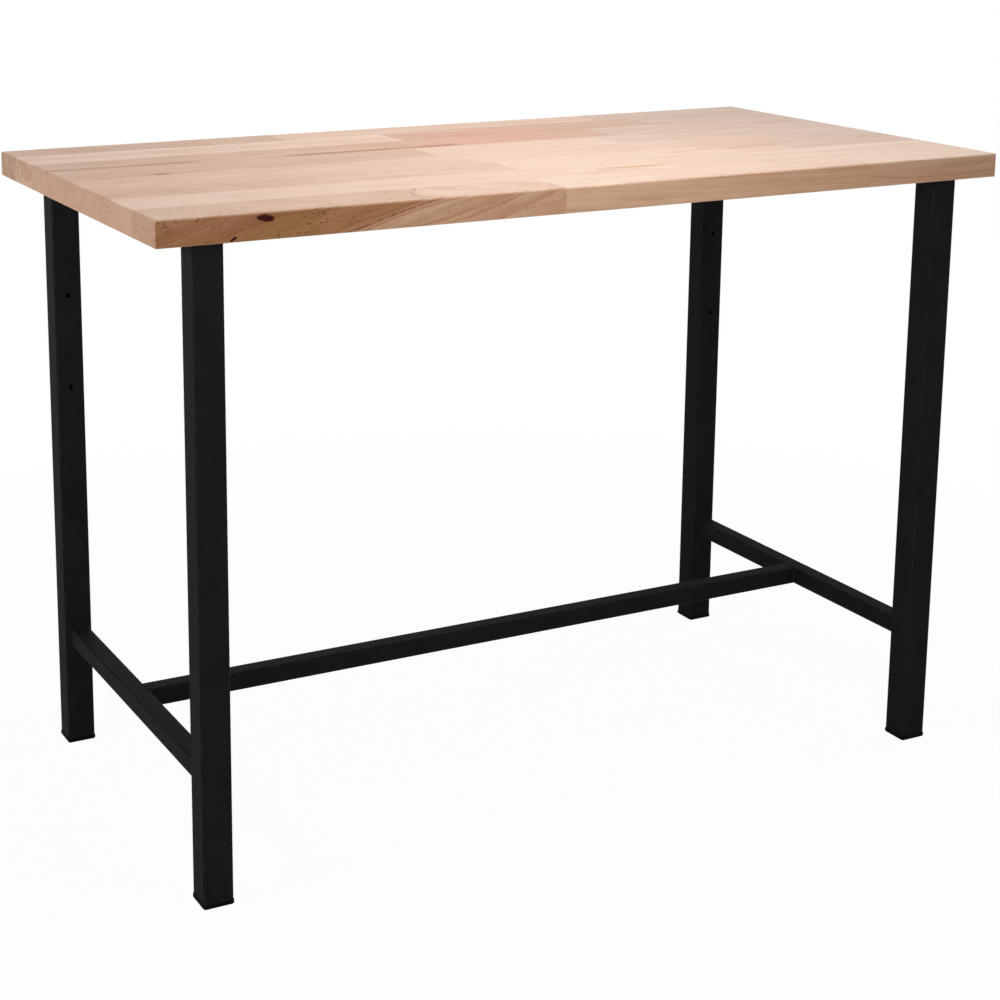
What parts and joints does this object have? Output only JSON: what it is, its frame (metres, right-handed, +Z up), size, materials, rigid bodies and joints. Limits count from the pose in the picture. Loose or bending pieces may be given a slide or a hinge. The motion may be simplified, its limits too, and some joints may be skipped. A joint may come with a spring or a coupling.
{
  "type": "workbench",
  "caption": "Workbench with a thick solid-wood staved top on a welded black square-tube base, whose low side rails and long middle rail form an H.",
  "frame": {"origin": "on the floor, at the middle of the footprint", "axes": "+X to the right along the length, +Y to the back, +Z up"},
  "size_m": [1.2, 0.6, 0.84],
  "materials": {
    "beech": "oiled satin",
    "painted_steel": "satin powder coat",
    "black_plastic": "moulded, matt",
    "zinc_plate": "zinc plated"
  },
  "bodies": {
    "root": {"worktop_stave_1a": "beech", "worktop_stave_1b": "beech", "worktop_stave_1c": "beech", "worktop_stave_2a": "beech", "worktop_stave_2b": "beech", "worktop_stave_2c": "beech", "worktop_stave_3a": "beech", "worktop_stave_3b": "beech", "worktop_stave_3c": "beech", "worktop_stave_4a": "beech", "worktop_stave_4b": "beech", "worktop_stave_4c": "beech", "worktop_stave_5a": "beech", "worktop_stave_5b": "beech", "worktop_stave_5c": "beech", "worktop_stave_6a": "beech", "worktop_stave_6b": "beech", "worktop_stave_6c": "beech", "worktop_stave_7a": "beech", "worktop_stave_7b": "beech", "worktop_stave_7c": "beech", "worktop_stave_8a": "beech", "worktop_stave_8b": "beech", "worktop_stave_8c": "beech", "mounting_bar_left": "painted_steel", "mounting_bar_right": "painted_steel", "worktop_screws_left": "zinc_plate", "worktop_screws_right": "zinc_plate", "leg_front_left": "painted_steel", "leg_front_right": "painted_steel", "leg_rear_left": "painted_steel", "leg_rear_right": "painted_steel", "foot_cap_front_left": "black_plastic", "foot_cap_front_right": "black_plastic", "foot_cap_rear_left": "black_plastic", "foot_cap_rear_right": "black_plastic", "side_rail_left": "painted_steel", "side_rail_right": "painted_steel", "long_rail": "painted_steel", "weld_beads_left": "painted_steel", "weld_beads_right": "painted_steel", "weld_beads_long_rail": "painted_steel"}
  },
  "joints": []
}
